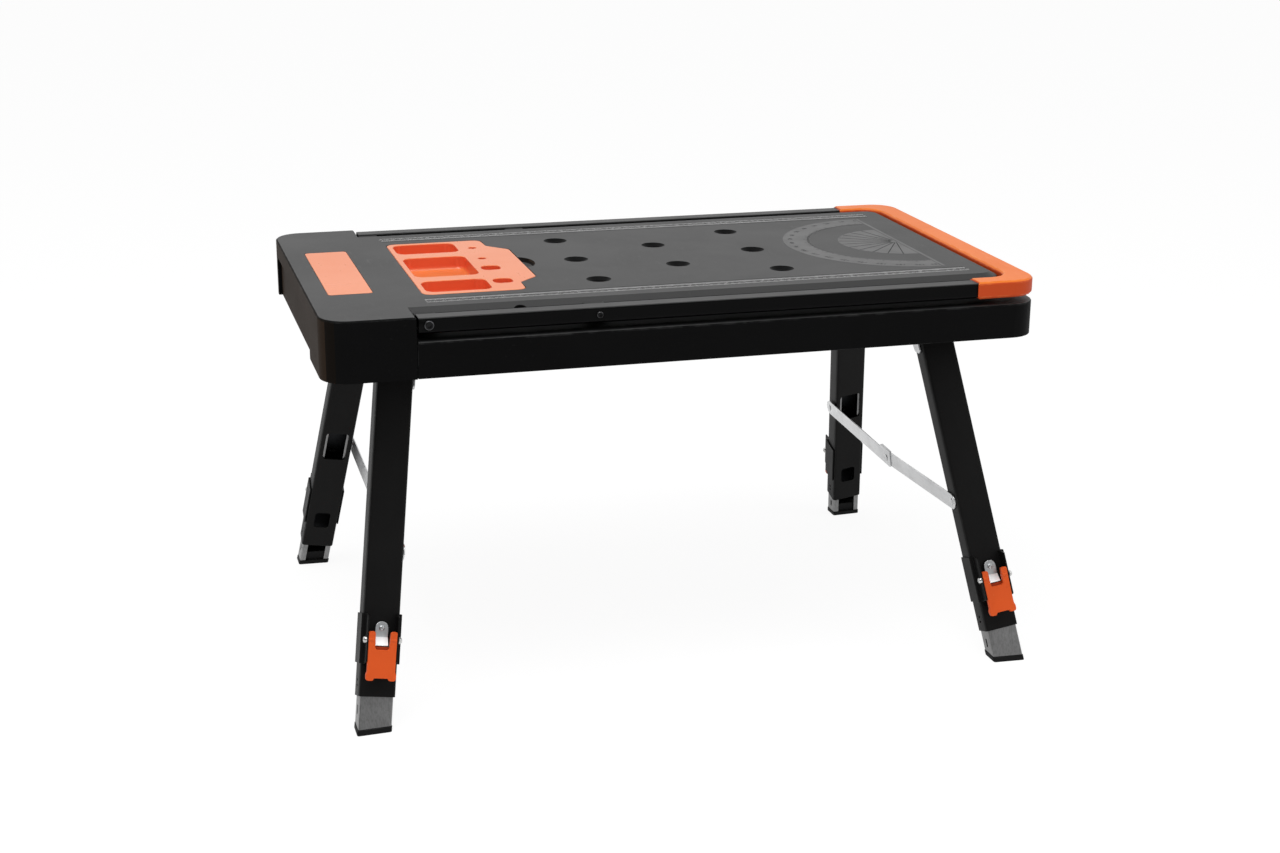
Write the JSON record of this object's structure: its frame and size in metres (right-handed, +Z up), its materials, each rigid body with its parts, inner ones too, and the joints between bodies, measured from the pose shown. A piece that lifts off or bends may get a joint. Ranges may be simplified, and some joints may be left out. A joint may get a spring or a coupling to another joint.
{
  "type": "folding workbench",
  "caption": "Low folding workbench with a ruled deck, dog holes, lift-out tool tray, pull-out end handle and splayed telescopic folding legs with clamp levers.",
  "frame": {"origin": "on the floor under the middle of the table, bottom centre of the bounding box", "axes": "+X along the length towards the grip end, +Y away from the front ruler, +Z up"},
  "size_m": [0.971, 0.6586, 0.532],
  "materials": {
    "deck_plastic": "fine-grained dark grey",
    "black_plastic": "fine-grained black",
    "orange_plastic": "satin orange",
    "black_steel": "semi-matt black powder coat",
    "zinc_steel": "bright zinc",
    "grey_steel": "plain steel",
    "foot_plastic": "black"
  },
  "bodies": {
    "table": {"table_top": "deck_plastic", "skirt": "black_plastic", "inlay_plate": "orange_plastic", "bearing_bracket_front_left": "zinc_steel", "bearing_bracket_rear_left": "zinc_steel", "bearing_bracket_front_right": "zinc_steel", "bearing_bracket_rear_right": "zinc_steel"},
    "tray": {"tool_tray": "orange_plastic"},
    "handle": {"end_grip": "orange_plastic", "rail_front": "black_steel", "rail_rear": "black_steel", "slide_shoe_front_end": "black_plastic", "slide_shoe_front_mid": "black_plastic", "slide_shoe_rear_end": "black_plastic", "slide_shoe_rear_mid": "black_plastic", "rail_bolt_front_end": "grey_steel", "rail_bolt_front_mid": "grey_steel", "rail_bolt_rear_end": "grey_steel", "rail_bolt_rear_mid": "grey_steel"},
    "carrier_left": {"fold_channel_left": "zinc_steel", "splay_bolt_front_left": "zinc_steel", "splay_bolt_rear_left": "zinc_steel"},
    "leg_front_left": {"leg_tube_front_left": "black_steel", "clamp_bracket_front_left": "black_steel"},
    "extension_front_left": {"leg_channel_front_left": "grey_steel", "foot_front_left": "foot_plastic"},
    "lever_front_left": {"clamp_lever_front_left": "orange_plastic"},
    "tongue_front_left": {"lock_tongue_front_left": "zinc_steel"},
    "leg_rear_left": {"leg_tube_rear_left": "black_steel", "clamp_bracket_rear_left": "black_steel"},
    "extension_rear_left": {"leg_channel_rear_left": "grey_steel", "foot_rear_left": "foot_plastic"},
    "lever_rear_left": {"clamp_lever_rear_left": "orange_plastic"},
    "tongue_rear_left": {"lock_tongue_rear_left": "zinc_steel"},
    "brace_rear_left": {"brace_strap_rear_left": "zinc_steel", "brace_pivot_rear_left": "zinc_steel"},
    "brace_front_left": {"brace_strap_front_left": "zinc_steel", "brace_pivot_mid_left": "zinc_steel", "brace_pivot_front_left": "zinc_steel"},
    "carrier_right": {"fold_channel_right": "zinc_steel", "splay_bolt_front_right": "zinc_steel", "splay_bolt_rear_right": "zinc_steel"},
    "leg_front_right": {"leg_tube_front_right": "black_steel", "clamp_bracket_front_right": "black_steel"},
    "extension_front_right": {"leg_channel_front_right": "grey_steel", "foot_front_right": "foot_plastic"},
    "lever_front_right": {"clamp_lever_front_right": "orange_plastic"},
    "tongue_front_right": {"lock_tongue_front_right": "zinc_steel"},
    "leg_rear_right": {"leg_tube_rear_right": "black_steel", "clamp_bracket_rear_right": "black_steel"},
    "extension_rear_right": {"leg_channel_rear_right": "grey_steel", "foot_rear_right": "foot_plastic"},
    "lever_rear_right": {"clamp_lever_rear_right": "orange_plastic"},
    "tongue_rear_right": {"lock_tongue_rear_right": "zinc_steel"},
    "brace_rear_right": {"brace_strap_rear_right": "zinc_steel", "brace_pivot_rear_right": "zinc_steel"},
    "brace_front_right": {"brace_strap_front_right": "zinc_steel", "brace_pivot_mid_right": "zinc_steel", "brace_pivot_front_right": "zinc_steel"}
  },
  "joints": [
    {"name": "tray_lift", "type": "slide", "parent": "table", "child": "tray", "axis": [0, 0, 1], "range_m": [0, 0.06]},
    {"name": "handle_pull", "type": "slide", "parent": "table", "child": "handle", "axis": [1, 0, 0], "range_m": [0, 0.4]},
    {"name": "fold_left", "type": "hinge", "parent": "table", "child": "carrier_left", "pos_m": [-0.3727, 0, 0.48], "axis": [0, -1, 0], "range_deg": [0, 98.55]},
    {"name": "splay_front_left", "type": "hinge", "parent": "carrier_left", "child": "leg_front_left", "pos_m": [-0.3727, -0.1398, 0.48], "axis": [0.9889, 0, -0.1487], "range_deg": [0, 27.18]},
    {"name": "extend_front_left", "type": "slide", "parent": "leg_front_left", "child": "extension_front_left", "axis": [0.14, 0.3358, 0.9315], "range_m": [-0.12, 0]},
    {"name": "clamp_front_left", "type": "hinge", "parent": "leg_front_left", "child": "lever_front_left", "pos_m": [-0.42707, -0.30202, 0.11833], "axis": [0.9889, 0, -0.1487], "range_deg": [-75, 0]},
    {"name": "lock_front_left", "type": "slide", "parent": "leg_front_left", "child": "tongue_front_left", "axis": [0.0499, -0.9419, 0.332], "range_m": [0, 0.0061]},
    {"name": "splay_rear_left", "type": "hinge", "parent": "carrier_left", "child": "leg_rear_left", "pos_m": [-0.3727, 0.1398, 0.48], "axis": [0.9889, 0, -0.1487], "range_deg": [-27.18, 0]},
    {"name": "extend_rear_left", "type": "slide", "parent": "leg_rear_left", "child": "extension_rear_left", "axis": [0.14, -0.3358, 0.9315], "range_m": [-0.12, 0]},
    {"name": "clamp_rear_left", "type": "hinge", "parent": "leg_rear_left", "child": "lever_rear_left", "pos_m": [-0.42707, 0.30202, 0.11833], "axis": [-0.9889, 0, 0.1487], "range_deg": [-75, 0]},
    {"name": "lock_rear_left", "type": "slide", "parent": "leg_rear_left", "child": "tongue_rear_left", "axis": [0.0499, 0.9419, 0.332], "range_m": [0, 0.0061]},
    {"name": "brace_end_left", "type": "hinge", "parent": "leg_rear_left", "child": "brace_rear_left", "pos_m": [-0.41269, 0.23569, 0.214], "axis": [0.9889, 0, -0.1487], "range_deg": [-39.64, 0]},
    {"name": "brace_mid_left", "type": "hinge", "parent": "brace_rear_left", "child": "brace_front_left", "pos_m": [-0.41418, 0, 0.20411], "axis": [0.9889, 0, -0.1487], "range_deg": [0, 133.61]},
    {"name": "fold_right", "type": "hinge", "parent": "table", "child": "carrier_right", "pos_m": [0.3727, 0, 0.48], "axis": [0, 1, 0], "range_deg": [0, 98.55]},
    {"name": "splay_front_right", "type": "hinge", "parent": "carrier_right", "child": "leg_front_right", "pos_m": [0.3727, -0.1398, 0.48], "axis": [0.9889, 0, 0.1487], "range_deg": [0, 17.16]},
    {"name": "extend_front_right", "type": "slide", "parent": "leg_front_right", "child": "extension_front_right", "axis": [-0.14, 0.3358, 0.9315], "range_m": [-0.12, 0]},
    {"name": "clamp_front_right", "type": "hinge", "parent": "leg_front_right", "child": "lever_front_right", "pos_m": [0.42707, -0.30202, 0.11833], "axis": [0.9889, 0, 0.1487], "range_deg": [-75, 0]},
    {"name": "lock_front_right", "type": "slide", "parent": "leg_front_right", "child": "tongue_front_right", "axis": [-0.0499, -0.9419, 0.332], "range_m": [0, 0.0061]},
    {"name": "splay_rear_right", "type": "hinge", "parent": "carrier_right", "child": "leg_rear_right", "pos_m": [0.3727, 0.1398, 0.48], "axis": [0.9889, 0, 0.1487], "range_deg": [-17.16, 0]},
    {"name": "extend_rear_right", "type": "slide", "parent": "leg_rear_right", "child": "extension_rear_right", "axis": [-0.14, -0.3358, 0.9315], "range_m": [-0.12, 0]},
    {"name": "clamp_rear_right", "type": "hinge", "parent": "leg_rear_right", "child": "lever_rear_right", "pos_m": [0.42707, 0.30202, 0.11833], "axis": [-0.9889, 0, -0.1487], "range_deg": [-75, 0]},
    {"name": "lock_rear_right", "type": "slide", "parent": "leg_rear_right", "child": "tongue_rear_right", "axis": [-0.0499, 0.9419, 0.332], "range_m": [0, 0.0061]},
    {"name": "brace_end_right", "type": "hinge", "parent": "leg_rear_right", "child": "brace_rear_right", "pos_m": [0.41269, 0.23569, 0.214], "axis": [0.9889, 0, 0.1487], "range_deg": [-35.19, 0]},
    {"name": "brace_mid_right", "type": "hinge", "parent": "brace_rear_right", "child": "brace_front_right", "pos_m": [0.41418, 0, 0.20411], "axis": [0.9889, 0, 0.1487], "range_deg": [0, 104.68]}
  ],
  "couplings": [
    {"joint": "splay_front_left", "follows": "fold_left", "ratio": 0.27519},
    {"joint": "lock_front_left", "follows": "clamp_front_left", "m_per_rad": -0.0045837},
    {"joint": "splay_rear_left", "follows": "fold_left", "ratio": -0.27519},
    {"joint": "lock_rear_left", "follows": "clamp_rear_left", "m_per_rad": -0.0045837},
    {"joint": "brace_end_left", "follows": "fold_left", "ratio": -0.40131},
    {"joint": "brace_mid_left", "follows": "fold_left", "ratio": 1.353},
    {"joint": "splay_front_right", "follows": "fold_right", "ratio": 0.17372},
    {"joint": "lock_front_right", "follows": "clamp_front_right", "m_per_rad": -0.0045837},
    {"joint": "splay_rear_right", "follows": "fold_right", "ratio": -0.17372},
    {"joint": "lock_rear_right", "follows": "clamp_rear_right", "m_per_rad": -0.0045837},
    {"joint": "brace_end_right", "follows": "fold_right", "ratio": -0.35629},
    {"joint": "brace_mid_right", "follows": "fold_right", "ratio": 1.06}
  ]
}
